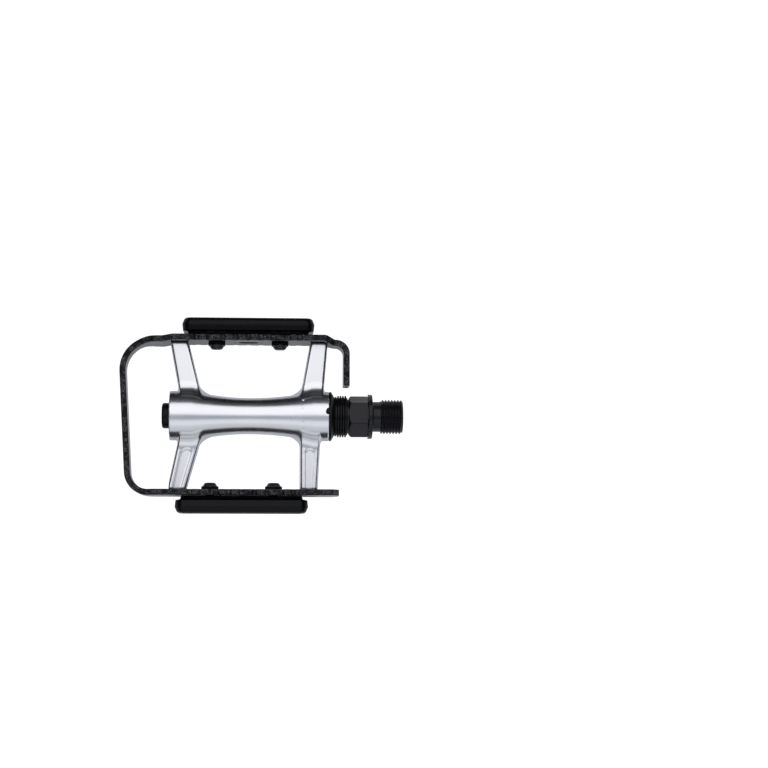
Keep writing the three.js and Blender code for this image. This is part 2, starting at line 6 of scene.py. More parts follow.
import bmesh
import bpy
import numpy as np
from mathutils import Euler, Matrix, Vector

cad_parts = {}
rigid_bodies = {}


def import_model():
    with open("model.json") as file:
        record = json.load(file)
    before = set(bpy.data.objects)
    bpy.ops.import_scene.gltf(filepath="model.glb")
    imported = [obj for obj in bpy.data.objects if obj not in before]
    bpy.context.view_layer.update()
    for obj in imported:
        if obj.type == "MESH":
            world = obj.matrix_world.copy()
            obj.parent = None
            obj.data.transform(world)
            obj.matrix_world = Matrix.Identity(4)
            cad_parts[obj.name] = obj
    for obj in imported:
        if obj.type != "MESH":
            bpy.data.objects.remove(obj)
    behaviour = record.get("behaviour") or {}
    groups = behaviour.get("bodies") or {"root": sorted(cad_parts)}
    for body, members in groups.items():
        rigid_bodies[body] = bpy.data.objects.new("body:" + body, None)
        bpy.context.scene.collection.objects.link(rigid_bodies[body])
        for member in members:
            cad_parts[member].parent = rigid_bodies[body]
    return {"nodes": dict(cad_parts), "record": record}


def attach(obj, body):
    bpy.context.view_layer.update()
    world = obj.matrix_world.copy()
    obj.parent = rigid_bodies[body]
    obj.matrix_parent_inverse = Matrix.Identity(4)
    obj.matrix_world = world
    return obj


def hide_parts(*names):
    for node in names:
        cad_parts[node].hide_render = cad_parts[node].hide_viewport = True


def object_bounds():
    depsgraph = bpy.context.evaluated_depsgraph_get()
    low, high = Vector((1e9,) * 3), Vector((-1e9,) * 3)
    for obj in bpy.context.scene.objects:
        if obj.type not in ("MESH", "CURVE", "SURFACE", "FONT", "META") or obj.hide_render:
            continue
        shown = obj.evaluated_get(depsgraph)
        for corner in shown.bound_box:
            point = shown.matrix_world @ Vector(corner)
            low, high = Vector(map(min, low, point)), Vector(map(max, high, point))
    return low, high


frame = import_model()
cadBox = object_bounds()
mm = 0.001


# ---- shader maths ----

class Wire:
    # a socket that adds a Math node where it meets an operator
    def __init__(self, paint, socket):
        self.paint, self.socket = paint, socket

    def join(self, operation, first, second=0.0, third=0.0):
        return self.paint.node("ShaderNodeMath", {"operation": operation}, {0: first, 1: second, 2: third})

    def __add__(self, other):
        return self.join("ADD", self, other)

    __radd__ = __add__

    def __sub__(self, other):
        return self.join("SUBTRACT", self, other)

    def __rsub__(self, other):
        return self.join("SUBTRACT", other, self)

    def __mul__(self, other):
        return self.join("MULTIPLY", self, other)

    __rmul__ = __mul__

    def between(self, low, high):
        # 0 below low, 1 above high, smooth in between
        return self.paint.node("ShaderNodeMapRange", {"interpolation_type": "SMOOTHSTEP"},
                               {"Value": self, "From Min": low, "From Max": high})


class Paint:
    # one node material: values go on the shader's own sockets, wires feed what varies
    def __init__(self, name, values):
        self.material = bpy.data.materials.new(name)
        self.material.use_nodes = True
        self.tree = self.material.node_tree
        self.shader = next(n for n in self.tree.nodes if n.type == "BSDF_PRINCIPLED")
        for socket, value in values.items():
            self.shader.inputs[socket].default_value = value
        self.place = self.node("ShaderNodeTexCoord", output="Object")

    def node(self, kind, settings=None, inputs=None, output=0):
        made = self.tree.nodes.new(kind)
        for key, value in (settings or {}).items():
            setattr(made, key, value)
        for key, value in (inputs or {}).items():
            if isinstance(value, Wire):
                self.tree.links.new(value.socket, made.inputs[key])
            else:
                made.inputs[key].default_value = value
        return Wire(self, made.outputs[output])

    def feed(self, socket, wire):
        self.tree.links.new(wire.socket, self.shader.inputs[socket])

    def stretched(self, scale):
        return self.node("ShaderNodeMapping", {}, {"Vector": self.place, "Scale": scale})

    def noise(self, perMm, detail=3.0, roughness=0.5, place=None):
        return self.node("ShaderNodeTexNoise", {}, {
            "Vector": place or self.place, "Scale": perMm * 1000, "Detail": detail, "Roughness": roughness})

    def cells(self, perMm, feature="F1", place=None, scatter=0.12):
        return self.node("ShaderNodeTexVoronoi", {"feature": feature}, {
            "Vector": place or self.place, "Scale": perMm * 1000, "Randomness": scatter}, "Distance")

    def tint(self, mask, low, high):
        return self.node("ShaderNodeMix", {"data_type": "RGBA"}, {0: mask, 6: low, 7: high}, 2)

    def bump(self, height, strength, depth, under=None):
        inputs = {"Height": height, "Strength": strength, "Distance": depth * mm}
        if under:
            inputs["Normal"] = under
        return self.node("ShaderNodeBump", {}, inputs)

    def attribute(self, name):
        return self.node("ShaderNodeAttribute", {"attribute_name": name}, {}, "Fac")


def rgb(red, green, blue):
    return (red, green, blue, 1.0)


# ---- finishes ----

def makeForgedAluminium():
    # satin forging: fine polishing lines along the barrel, cloudy tone, a few nicks
    look = {"grain": 3.2, "lines": (26.0, 900.0, 900.0), "nicks": 0.5}
    paint = Paint("forgedAluminium", {"Metallic": 1.0})
    cloud = paint.noise(0.06, 4.0, 0.55)
    grain = paint.noise(look["grain"], 2.0, 0.6)
    lines = paint.noise(0.001, 3.0, 0.6, paint.stretched(look["lines"]))
    nicks = paint.cells(look["nicks"]).between(0.0, 0.045)
    tone = cloud * 0.55 + lines * 0.45
    paint.feed("Base Color", paint.tint(tone, rgb(0.70, 0.715, 0.75), rgb(0.86, 0.87, 0.895)))
    paint.feed("Roughness", 0.17 + cloud * 0.10 + lines * 0.06 + (1 - nicks) * 0.15)
    soft = paint.bump(cloud, 0.12, 0.06)
    fine = paint.bump(grain * 0.5 + lines * 0.5, 0.16, 0.012, soft)
    paint.feed("Normal", paint.bump(nicks, 0.25, 0.02, fine))
    return paint.material


def makeCageSteel():
    # black coat over punched steel; the sheared edges are coarser and show specks of bare metal
    paint = Paint("cageSteel", {"Specular IOR Level": 0.15})
    edge = paint.attribute("shearedEdge")
    peel = paint.noise(1.6, 2.0, 0.45)
    shear = paint.noise(3.6, 3.0, 0.7)
    specks = shear.between(0.54, 0.62) * edge * paint.noise(0.45, 2.0).between(0.38, 0.56)
    cloud = paint.noise(0.09, 3.0)
    black = paint.tint(cloud, rgb(0.003, 0.003, 0.004), rgb(0.009, 0.009, 0.011))
    paint.feed("Base Color", paint.tint(specks, black, rgb(0.30, 0.30, 0.31)))
    paint.feed("Metallic", specks * 0.8)
    paint.feed("Roughness", 0.07 + peel * 0.08 + edge * 0.25 + specks * 0.1)
    flat = paint.bump(peel, 0.10, 0.03)
    paint.feed("Normal", paint.bump(shear * edge, 1.0, 0.16, flat))
    return paint.material


def makeAxleSteel():
    # black oxide over turned steel: fine rings round the axis, a duller cloudy patina
    paint = Paint("axleSteel", {"Specular IOR Level": 0.34})
    rings = paint.noise(0.001, 2.0, 0.5, paint.stretched((5200.0, 60.0, 60.0)))
    cloud = paint.noise(0.22, 4.0, 0.6)
    specks = paint.noise(2.4, 3.0, 0.7).between(0.66, 0.76)
    black = paint.tint(cloud, rgb(0.004, 0.004, 0.006), rgb(0.016, 0.015, 0.020))
    paint.feed("Base Color", paint.tint(specks, black, rgb(0.12, 0.12, 0.13)))
    paint.feed("Metallic", 0.10 + cloud * 0.15)
    paint.feed("Roughness", 0.16 + cloud * 0.16 + rings * 0.06)
    paint.feed("Normal", paint.bump(rings * 0.7 + cloud * 0.3, 0.18, 0.02))
    return paint.material


def makeBearingSteel():
    paint = Paint("bearingSteel", {"Metallic": 1.0})
    rings = paint.noise(0.001, 2.0, 0.5, paint.stretched((6000.0, 80.0, 80.0)))
    grease = paint.noise(0.3, 3.0)
    paint.feed("Base Color", paint.tint(grease, rgb(0.52, 0.52, 0.53), rgb(0.68, 0.69, 0.71)))
    paint.feed("Roughness", 0.14 + grease * 0.14 + rings * 0.05)
    paint.feed("Normal", paint.bump(rings, 0.12, 0.01))
    return paint.material


def makeMoulded(name, low, high, rough, grainDepth, values):
    # moulded plastic: spark-eroded grain, slight flow clouds, rubbed shinier patches
    paint = Paint(name, values)
    cloud = paint.noise(0.12, 3.0)
    grain = paint.noise(4.2, 3.0, 0.6)
    rubbed = paint.noise(0.35, 2.0).between(0.45, 0.7)
    paint.feed("Base Color", paint.tint(cloud, low, high))
    paint.feed("Roughness", rough + grain * 0.10 - rubbed * 0.08)
    paint.feed("Normal", paint.bump(grain, 0.3, grainDepth))
    return paint.material


def makeZincBlack(name, rough):
    paint = Paint(name, {"Specular IOR Level": 0.5})
    cloud = paint.noise(0.5, 3.0)
    grain = paint.noise(6.0, 2.0)
    worn = paint.noise(1.8, 3.0, 0.7).between(0.64, 0.74)
    black = paint.tint(cloud, rgb(0.003, 0.003, 0.004), rgb(0.010, 0.010, 0.012))
    paint.feed("Base Color", paint.tint(worn, black, rgb(0.11, 0.11, 0.12)))
    paint.feed("Metallic", 0.1 + worn * 0.5)
    paint.feed("Roughness", rough + cloud * 0.12)
    paint.feed("Normal", paint.bump(grain, 0.2, 0.015))
    return paint.material


def makeAmberLens():
    # clear amber face over rows of small reflecting prisms; the prism faces carry a painted reflection in the
    # base colour and a painted glow by emission, though the lens is no lamp
    paint = Paint("amberLens", {"Specular IOR Level": 0.6, "Coat Weight": 1.0, "Coat Roughness": 0.04})
    prism = paint.cells(0.42, "DISTANCE_TO_EDGE", paint.stretched((1.0, 0.0, 1.15)))
    paintedPrismGlow = prism.between(0.02, 0.30)
    glow = paint.noise(0.08, 2.0)
    tone = paintedPrismGlow * 0.7 + glow * 0.3
    # painted reflection: the prism faces are painted brighter amber than their edges
    paint.feed("Base Color", paint.tint(tone, rgb(0.36, 0.075, 0.004), rgb(0.95, 0.36, 0.03)))
    paint.feed("Roughness", 0.10 + paintedPrismGlow * 0.10)
    # painted glow: the prism faces emit light, standing in for light the reflector sends back
    paint.feed("Emission Color", paint.tint(paintedPrismGlow, rgb(0.02, 0.003, 0.0), rgb(0.30, 0.07, 0.0)))
    paint.shader.inputs["Emission Strength"].default_value = 0.35
    paint.feed("Normal", paint.bump(prism, 0.5, 0.25))
    return paint.material


finishes = {
    "forged_aluminium": makeForgedAluminium(),
    "cage_steel": makeCageSteel(),
    "axle_steel": makeAxleSteel(),
    "bearing_steel": makeBearingSteel(),
    "screw_steel": makeZincBlack("screwSteel", 0.22),
    "nut_steel": makeZincBlack("nutSteel", 0.14),
    "seal_plastic": makeMoulded("sealPlastic", rgb(0.003, 0.003, 0.004), rgb(0.009, 0.009, 0.010),
                                0.26, 0.03, {"Specular IOR Level": 0.18}),
    "cap_plastic": makeMoulded("capPlastic", rgb(0.003, 0.003, 0.004), rgb(0.008, 0.008, 0.009),
                               0.30, 0.03, {"Specular IOR Level": 0.15}),
    "housing_plastic": makeMoulded("housingPlastic", rgb(0.002, 0.002, 0.003), rgb(0.005, 0.005, 0.007),
                                   0.12, 0.010, {"Specular IOR Level": 0.13}),
    "amber_lens": makeAmberLens(),
}
slotOf = {part["node"]: part["material_slot"] for part in frame["record"]["subparts"]}
for nodeName, thing in frame["nodes"].items():
    thing.data.materials.clear()
    thing.data.materials.append(finishes[slotOf[nodeName]])
print("finishes ready:", len(finishes))


# ---- mesh helpers ----

def bodyOf(node):
    bodies = frame["record"]["behaviour"]["bodies"]
    return next(name for name, members in bodies.items() if node in members)


def nameOf(node):
    return node.replace("_", " ").title().replace(" ", "")


def addSolid(name, points, faces, shade=None):
    # points in millimetres; faces is a list of index arrays, each of one face size
    mesh = bpy.data.meshes.new(name)
    indices = [face for part in faces for face in part.tolist()]
    mesh.from_pydata((np.asarray(points, float) * mm).tolist(), [], indices)
    if shade is not None:
        layer = mesh.attributes.new(shade[0], "FLOAT", "POINT")
        layer.data.foreach_set("value", np.asarray(shade[1], np.float32))
    shell = bmesh.new()
    shell.from_mesh(mesh)
    bmesh.ops.remove_doubles(shell, verts=shell.verts, dist=1e-6)
    bmesh.ops.recalc_face_normals(shell, faces=shell.faces)
    shell.to_mesh(mesh)
    shell.free()
    solid = bpy.data.objects.new(name, mesh)
    bpy.context.scene.collection.objects.link(solid)
    return solid


def makePiece(name, points, faces, node, sharpAbove=35, shade=None):
    piece = addSolid(name, points, faces, shade)
    piece.data.shade_smooth()
    piece.data.set_sharp_from_angle(angle=math.radians(sharpAbove))
    piece.data.materials.append(finishes[slotOf[node]])
    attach(piece, bodyOf(node))
    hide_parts(node)
    return piece


def ringFaces(rings, around, wrapRings=False, first=0):
    # quads between neighbouring rings of a grid stored ring by ring
    grid = first + np.arange(rings * around).reshape(rings, around)
    lower = grid if wrapRings else grid[:-1]
    upper = np.roll(grid, -1, axis=0) if wrapRings else grid[1:]
    return np.stack([lower, np.roll(lower, -1, 1), np.roll(upper, -1, 1), upper], -1).reshape(-1, 4)


def capFaces(ring, centre):
    return np.stack([ring, np.roll(ring, -1), np.full(len(ring), centre)], -1)


def ringStack(rings, wrapRings=False):
    # rings: array (rings, around, 3); open stacks are closed by fans to the end rings' middles
    count, around = rings.shape[:2]
    points = rings.reshape(-1, 3)
    faces = [ringFaces(count, around, wrapRings)]
    if not wrapRings:
        ends = np.stack([rings[0].mean(0), rings[-1].mean(0)])
        faces.append(capFaces(np.arange(around), len(points)))
        faces.append(capFaces(np.arange(around) + (count - 1) * around, len(points) + 1))
        points = np.concatenate([points, ends])
    return points, faces


def bentLine(corners, step=0.3, arcStep=0.12):
    # corners are (x, y) or (x, y, bend radius); each bend becomes an arc tangent to both sides
    line = []
    for i, corner in enumerate(corners):
        here = np.array(corner[:2], float)
        if len(corner) < 3 or i in (0, len(corners) - 1):
            line.append(here)
            continue
        before = np.array(corners[i - 1][:2], float) - here
        after = np.array(corners[i + 1][:2], float) - here
        before, after = before / np.hypot(*before), after / np.hypot(*after)
        half = math.acos(np.clip(before @ after, -1, 1)) / 2
        centre = here + (before + after) / np.hypot(*(before + after)) * corner[2] / math.sin(half)
        start = here + before * corner[2] / math.tan(half) - centre
        sweep = math.pi - 2 * half
        hand = -math.copysign(1, before[0] * after[1] - before[1] * after[0])
        turns = np.linspace(0, hand * sweep, max(3, int(sweep / arcStep) + 1))
        line.extend(centre + np.array([start[0] * math.cos(t) - start[1] * math.sin(t),
                                       start[0] * math.sin(t) + start[1] * math.cos(t)]) for t in turns)
    line = np.array(line)
    if not step:
        return line
    gaps = np.hypot(*np.diff(line, axis=0).T)
    keep = np.concatenate([[True], gaps > 1e-4])
    line, along = line[keep], np.concatenate([[0], np.cumsum(gaps[gaps > 1e-4])])
    even = np.linspace(0, along[-1], max(2, int(along[-1] / step)))
    return np.stack([np.interp(even, along, line[:, 0]), np.interp(even, along, line[:, 1])], -1)


def lathe(outline, sides, closed=False):
    # outline of (x, radius) rows turned about X
    turn = np.linspace(0, 2 * np.pi, sides, endpoint=False)
    x, r = outline[:, 0, None], outline[:, 1, None]
    rings = np.stack([x + 0 * turn, r * np.cos(turn), r * np.sin(turn)], -1)
    return ringStack(rings, closed)


def joined(parts):
    # several (points, faces) solids as one
    points, faces, first = [], [], 0
    for partPoints, partFaces in parts:
        points.append(partPoints)
        faces.extend(face + first for face in partFaces)
        first += len(partPoints)
    return np.concatenate(points), faces


def smoothStep(value, low, high):
    t = np.clip((value - low) / (high - low), 0, 1)
    return t * t * (3 - 2 * t)


def softMin(a, b, blend):
    h = np.clip(0.5 + 0.5 * (b - a) / blend, 0, 1)
    return b + (a - b) * h - blend * h * (1 - h)


def softMax(a, b, blend):
    return -softMin(-a, -b, blend)


# ---- the forged body ----

barrelShape = {
    "outboard": -95.9, "inboard": -30.5, "endRadius": 10.17, "waistRadius": 7.45, "waistX": -63.2,
    "outboardBoss": -86.4, "inboardBoss": -37.1, "endEdge": 0.5,
    "bore": 5.8, "outboardSeat": (-82.37, 8.6), "inboardSeat": (-41.18, 8.9),
    "notchY": 1.5, "notchRadius": 1.35, "notchFloor": 7.0,
}
armShape = {
    "rootY": 9.0, "tipY": 30.25, "half": 3.5, "draft": 0.45, "edge": 1.0, "tipEdge": 0.5,
    "crownFoot": 14.3, "crown": 7.0, "crownSpan": 0.68, "crownSlope": 0.75, "crownEnd": 7.8,
    "waistShift": 1.4, "sinkOver": 1.2, "inside": 5.0, "blend": 0.6,
    "filletY": 12.6, "flare": 3.0, "outerFlare": 0.3,
    "panelStart": 13.6, "panelInset": 1.9, "panelDepth": 0.3,
}
# side, middle and width at the barrel, middle and width at the plate, way to the pedal's middle
armPlaces = {
    "front_outboard": (1, -87.4, 9.2, -92.1, 7.7, 1),
    "front_inboard": (1, -37.5, 9.5, -34.7, 7.4, -1),
    "rear_outboard": (-1, -87.3, 9.6, -92.6, 8.0, 1),
    "rear_inboard": (-1, -38.2, 8.6, -38.7, 7.5, -1),
}


def barrelRadius(x):
    # plain bosses at both ends and a parabola each way to the waist
    b = barrelShape
    span = np.where(x < b["waistX"], b["outboardBoss"] - b["waistX"], b["inboardBoss"] - b["waistX"])
    t = np.clip((x - b["waistX"]) / span, 0, 1)
    return b["waistRadius"] + (b["endRadius"] - b["waistRadius"]) * t * t


def armField(x, y, z, place):
    # distance to one arm: rounded bar whose top rises to the barrel in a hollow of radius crown,
    # then up a slope, and sinks under the barrel's skin; rear arms have a shallow sunk panel
    side, rootX, rootWidth, tipX, tipWidth, inner = place
    a = armShape
    out = side * y
    along = (out - a["rootY"]) / (a["tipY"] - a["rootY"])
    half = (rootWidth + (tipWidth - rootWidth) * along) / 2
    radius = barrelRadius(x)
    rise = out + a["waistShift"] * (barrelShape["endRadius"] - radius)
    hollow = a["crown"] * a["crownSpan"]
    toward = np.clip(a["crownFoot"] - rise, 0, hollow)
    high = a["half"] + a["crown"] - np.sqrt(a["crown"] ** 2 - toward ** 2)
    high = high + a["crownSlope"] * np.maximum(a["crownFoot"] - hollow - rise, 0)
    sunk = np.sqrt(np.maximum(radius ** 2 - out ** 2, 0))
    sunk = sunk - smoothStep(a["crownEnd"] - rise, 0, a["sinkOver"])
    high = np.where(rise < a["crownEnd"], np.minimum(high, sunk), high)
    across = (x - (rootX + (tipX - rootX) * along)) * inner
    lean = a["draft"] * np.abs(z) / high
    flare = a["flare"] * np.clip((a["filletY"] - out) / (a["filletY"] - a["rootY"]), 0, 1.4) ** 2
    flare = flare * np.clip(1 - np.abs(z) / high, 0, 1)
    sides = softMax(across - (half + flare - lean), -across - (half + a["outerFlare"] * flare - lean), 0.4)
    top = (np.abs(z) - high) / np.sqrt(1 + (toward / a["crown"]) ** 2)
    solid = softMax(sides, top, a["edge"])
    solid = softMax(solid, out - a["tipY"], a["tipEdge"])
    solid = np.maximum(solid, a["inside"] - out)
    width = half - a["draft"] - a["panelInset"]
    panel = np.hypot(np.maximum(a["panelStart"] + width - out, 0), across) - width
    floor = high - (a["panelDepth"] if side < 0 else -1.0)
    pocket = softMax(panel, floor - np.abs(z), 0.35)
    return softMax(solid, -pocket, 0.35)


def bodyField(p):
    # distance from the surface of the whole forging, negative inside
    b = barrelShape
    x, y, z = p[..., 0], p[..., 1], p[..., 2]
    r = np.hypot(y, z)
    solid = softMax(r - barrelRadius(x), np.abs(x - (b["outboard"] + b["inboard"]) / 2)
                    - (b["inboard"] - b["outboard"]) / 2, b["endEdge"])
    for place in armPlaces.values():
        solid = softMin(solid, armField(x, y, z, place), armShape["blend"])
    solid = softMax(solid, b["outboard"] - x, 0.2)
    hole = np.where(x < b["outboardSeat"][0], b["outboardSeat"][1],
                    np.where(x > b["inboardSeat"][0], b["inboardSeat"][1], b["bore"]))
    solid = np.maximum(solid, hole - r)
    notch = np.hypot(x - b["inboard"], y - b["notchY"]) - b["notchRadius"]
    return np.maximum(solid, -np.maximum(notch, b["notchFloor"] - z))


def surfaceOf(field, low, high, cell, settle=4):
    # surface nets: one point per grid cell that the surface crosses, at the mean of its edge
    # crossings, then pulled onto the surface along the field's gradient
    counts = [int(round((b - a) / cell)) + 1 for a, b in zip(low, high)]
    axes = [a + cell * np.arange(n) for a, n in zip(low, counts)]
    value = field(np.stack(np.meshgrid(*axes, indexing="ij"), -1))
    inside = value < 0
    cells = tuple(n - 1 for n in counts)
    total, crossings = np.zeros(cells + (3,)), np.zeros(cells)
    corner = [slice(0, -1), slice(1, None)]
    edges = []
    for axis in range(3):
        others = [k for k in range(3) if k != axis]
        start = tuple(slice(0, -1) if k == axis else slice(None) for k in range(3))
        end = tuple(slice(1, None) if k == axis else slice(None) for k in range(3))
        crossed = inside[start] != inside[end]
        change = value[end] - value[start]
        part = np.where(crossed, -value[start] / np.where(change == 0, 1, change), 0)
        for i in (0, 1):
            for j in (0, 1):
                pick = [slice(None)] * 3
                pick[others[0]], pick[others[1]] = corner[i], corner[j]
                hit = crossed[tuple(pick)]
                crossings += hit
                offset = [0.0, 0.0, 0.0]
                offset[others[0]], offset[others[1]] = i, j
                for k in range(3):
                    total[..., k] += hit * (part[tuple(pick)] if k == axis else offset[k])
        edges.append((axis, others, crossed))
    used = crossings > 0
    index = np.full(cells, -1)
    index[used] = np.arange(used.sum())
    points = np.argwhere(used) + total[used] / crossings[used][:, None]
    points = np.array(low) + points * cell
    quads = []
    for axis, (one, two), crossed in edges:
        at = np.argwhere(crossed)
        at = at[(at[:, one] > 0) & (at[:, two] > 0) & (at[:, one] < cells[one]) & (at[:, two] < cells[two])]
        ring = []
        for i, j in ((0, 0), (1, 0), (1, 1), (0, 1)):
            spot = at.copy()
            spot[:, one] -= i
            spot[:, two] -= j
            ring.append(index[tuple(spot.T)])
        quads.append(np.stack(ring, -1))
    for _ in range(settle):
        shift = np.eye(3) * 0.02
        slope = np.stack([field(points + s) - field(points - s) for s in shift], -1) / 0.04
        steep = np.maximum((slope ** 2).sum(-1), 0.2)
        points -= np.clip(field(points) / steep, -cell / 2, cell / 2)[:, None] * slope
    return points, [np.concatenate(quads)]


bodyPoints, bodyFaces = surfaceOf(bodyField, (-97.0, -31.0, -11.2), (-29.6, 31.0, 11.2), 0.42)
makePiece("bodyForging", bodyPoints, bodyFaces, "body", 50)
print("body:", len(bodyPoints), "points")


# ---- the cage strip ----

cageShape = {
    "thickness": 2.5, "edge": 0.5, "plateHalf": 10.0, "loopHalf": 5.5, "valleyHalf": 9.1, "dipHalf": 8.6,
    "plateY": 31.65, "step": 0.28,
    "frontMiddle": -63.8, "rearMiddle": -66.1, "flank": 0.25,
    "teeth": ((0.9, 4.4), (6.1, 9.3), (17.1, 20.0)), "shoulder": 22.0,
    "slotLength": 8.3, "slotHeight": 4.6, "holeX": 5.4, "holeRadius": 0.7,
}
cageRoute = (
    (-23.35, 12.4), (-23.35, 30.1, 4.6), (-28.6, 30.1, 3), (-32.4, 31.65, 3),
    (-94.6, 31.65, 5), (-98.8, 30.85, 5), (-115.8, 30.85, 12.3), (-112.2, -31.65, 8.75), (-26.4, -31.65),
)


def toothed(distance):
    # edge height of a plate at a distance from its middle: punched teeth over valleys and a long dip
    c = cageShape
    height = np.where(distance < 9.5, c["valleyHalf"], c["dipHalf"])
    height = np.where(distance > 20.0, c["valleyHalf"], height)
    for low, high in c["teeth"]:
        tooth = smoothStep(distance, low - c["flank"], low + c["flank"])
        tooth = tooth * (1 - smoothStep(distance, high - c["flank"], high + c["flank"]))
        height = height + (c["plateHalf"] - height) * tooth
    lobe = np.exp(-((distance - 13.0) / 2.0) ** 4) * 0.55
    height = height + lobe
    full = smoothStep(distance, c["shoulder"] - 0.5, c["shoulder"] + 0.3)
    return height + (c["plateHalf"] - height) * full


def stripHalf(x, y):
    # half the strip's height along its route
    c = cageShape
    front = y > 0
    middle = np.where(front, c["frontMiddle"], c["rearMiddle"])
    plate = toothed(np.abs(x - middle))
    loop = c["loopHalf"] + (plate - c["loopHalf"]) * smoothStep(x, -109.5, -101.0)
    shoulder = np.where(front, smoothStep(x, -31.9, -28.2), np.clip((x + 29.0) / 2.6, 0, 1))
    return loop + (c["loopHalf"] + 0.5 - loop) * shoulder


def stripSection(edge, thickness, perCorner=5, perSide=5):
    # one rounded corner (across the thickness, and how far below the edge), the edge's flat, the face
    arc = np.linspace(0, np.pi / 2, perCorner)
    across = thickness / 2 - edge + edge * np.sin(arc)
    below = edge - edge * np.cos(arc)
    flat = np.linspace(across[0], -across[0], 4)[1:-1]
    face = np.linspace(-1, 1, perSide + 2)[1:-1]
    return across, below, flat, face


def makeCage():
    c = cageShape
    line = bentLine(cageRoute, c["step"], 0.05)
    tangent = np.gradient(line, axis=0)
    tangent /= np.hypot(tangent[:, 0], tangent[:, 1])[:, None]
    normal = np.stack([-tangent[:, 1], tangent[:, 0]], -1)
    half = stripHalf(line[:, 0], line[:, 1])
    across, below, flat, face = stripSection(c["edge"], c["thickness"])
    # section run: right side up, over the top edge, left side down, under the bottom edge
    offsets, heights = [], []
    for sign in (1, -1):
        offsets.append(np.full(len(face), sign * c["thickness"] / 2))
        heights.append(("face", sign * face, None))
        offsets.append(sign * across[::-1])
        heights.append(("edge", sign, below[::-1]))
        offsets.append(flat)
        heights.append(("edge", sign, np.zeros(len(flat))))
        offsets.append(-sign * across)
        heights.append(("edge", sign, below))
    offset = np.concatenate(offsets)
    columns, edgeMask = [], []
    for kind, first, second in heights:
        if kind == "face":
            columns.append(first[None, :] * (half[:, None] - c["edge"]))
            edgeMask.append(np.zeros((len(line), len(first))))
        else:
            columns.append(first * (half[:, None] - second[None, :]))
            sheared = smoothStep(c["edge"] - second, 0.0, c["edge"])
            edgeMask.append(np.tile(sheared[None, :], (len(line), 1)))
    z = np.concatenate(columns, 1)
    mask = np.concatenate(edgeMask, 1)
    x = line[:, 0, None] + normal[:, 0, None] * offset
    y = line[:, 1, None] + normal[:, 1, None] * offset
    points, faces = ringStack(np.stack([x, y, z], -1))
    shade = np.concatenate([mask.ravel(), [0.6, 0.6]])
    return makePiece("cageStrip", points, faces, "cage", 40, ("shearedEdge", shade))


def holeCutter(middle, side, rows, length=0.0, sides=40):
    # cutter along Y through a plate: rows of (distance from the plate's middle, radius), and for a
    # slot the two halves of each ring are drawn apart by length
    turn = np.linspace(0, 2 * np.pi, sides, endpoint=False)
    x = middle + np.sign(np.cos(turn)) * length / 2
    rings = [np.stack([x + radius * np.cos(turn), 0 * turn + side * (cageShape["plateY"] + distance),
                       radius * np.sin(turn)], -1) for distance, radius in rows]
    return ringStack(np.array(rings))


def cutCage(cage, screws):
    # slots with a small hole at each end, and countersunk screw holes
    c = cageShape
    through = c["thickness"]
    slotRadius = c["slotHeight"] / 2
    cutters = []
    for side, middle in ((1, c["frontMiddle"]), (-1, c["rearMiddle"])):
        slot = [(-through, slotRadius), (through, slotRadius)]
        hole = [(-through, c["holeRadius"]), (through, c["holeRadius"])]
        cutters.append(holeCutter(middle, side, slot, c["slotLength"] - c["slotHeight"]))
        cutters += [holeCutter(middle + hand * c["holeX"], side, hole, sides=20) for hand in (-1, 1)]
    face = c["thickness"] / 2
    sunk = [(-2.2, 2.05), (face - 1.55, 2.05), (face - 0.08, 3.3), (face + 1, 3.3)]
    cutters += [holeCutter(x, side, sunk) for side, x in screws]
    tool = addSolid("cutters", *joined(cutters))
    cut = cage.modifiers.new("cut", "BOOLEAN")
    cut.operation, cut.solver, cut.object = "DIFFERENCE", "EXACT", tool
    done = bpy.data.meshes.new_from_object(cage.evaluated_get(bpy.context.evaluated_depsgraph_get()))
    cage.modifiers.clear()
    cage.data = done
    done.set_sharp_from_angle(angle=math.radians(40))
    bpy.data.objects.remove(tool)


cage = makeCage()
cutCage(cage, [(place[0], place[3]) for place in armPlaces.values()])
print("cage:", len(cage.data.vertices), "points")


# ---- axle with its crank thread ----

axleShape = {
    "pitch": 1.27, "major": 7.14, "depth": 0.72, "neck": 6.2, "neckEnd": -9.5, "runOut": 0.7,
    "chamfer": 1.3,
    "collarFace": -12.7, "collarBack": -14.3, "collar": 9.15, "collarEdge": 0.3,
    "hexEnd": -22.4, "hexAcross": 15.0, "hexTurn": 24.0, "hexChamfer": 0.75,
    "shoulder": 7.0, "spindle": 6.3, "shaft": 4.15, "screw": 4.0, "end": -94.8, "sides": 144,
}


def axleOutline():
    a = axleShape
    threadRows = np.arange(a["neckEnd"], 0.001, a["pitch"] / 14)
    body = bentLine((
        (a["end"], 0.01), (a["end"], a["screw"] - 0.5), (a["end"] + 0.5, a["screw"]), (-81.0, a["screw"]),
        (-80.0, a["shaft"]), (-36.3, a["shaft"], 0.5), (-34.15, a["spindle"], 0.3),
        (a["hexEnd"] - 0.9, a["spindle"]), (a["hexEnd"] - 0.9, a["shoulder"], 0.15),
        (a["hexEnd"], a["shoulder"]),
    ), 0)
    hexRun = np.array([[x, 99.0] for x in np.linspace(a["hexEnd"], a["collarBack"], 30)])
    collar = bentLine((
        (a["collarBack"], 99.0), (a["collarBack"], a["collar"], a["collarEdge"]),
        (a["collarFace"], a["collar"], a["collarEdge"]), (a["collarFace"], a["neck"] + 0.3, 0.25),
        (a["collarFace"] + 0.5, a["neck"], 0.3), (a["neckEnd"], a["neck"]),
    ), 0)[1:]
    thread = np.stack([threadRows, np.full(len(threadRows), -1.0)], -1)
    return body, hexRun, collar, thread


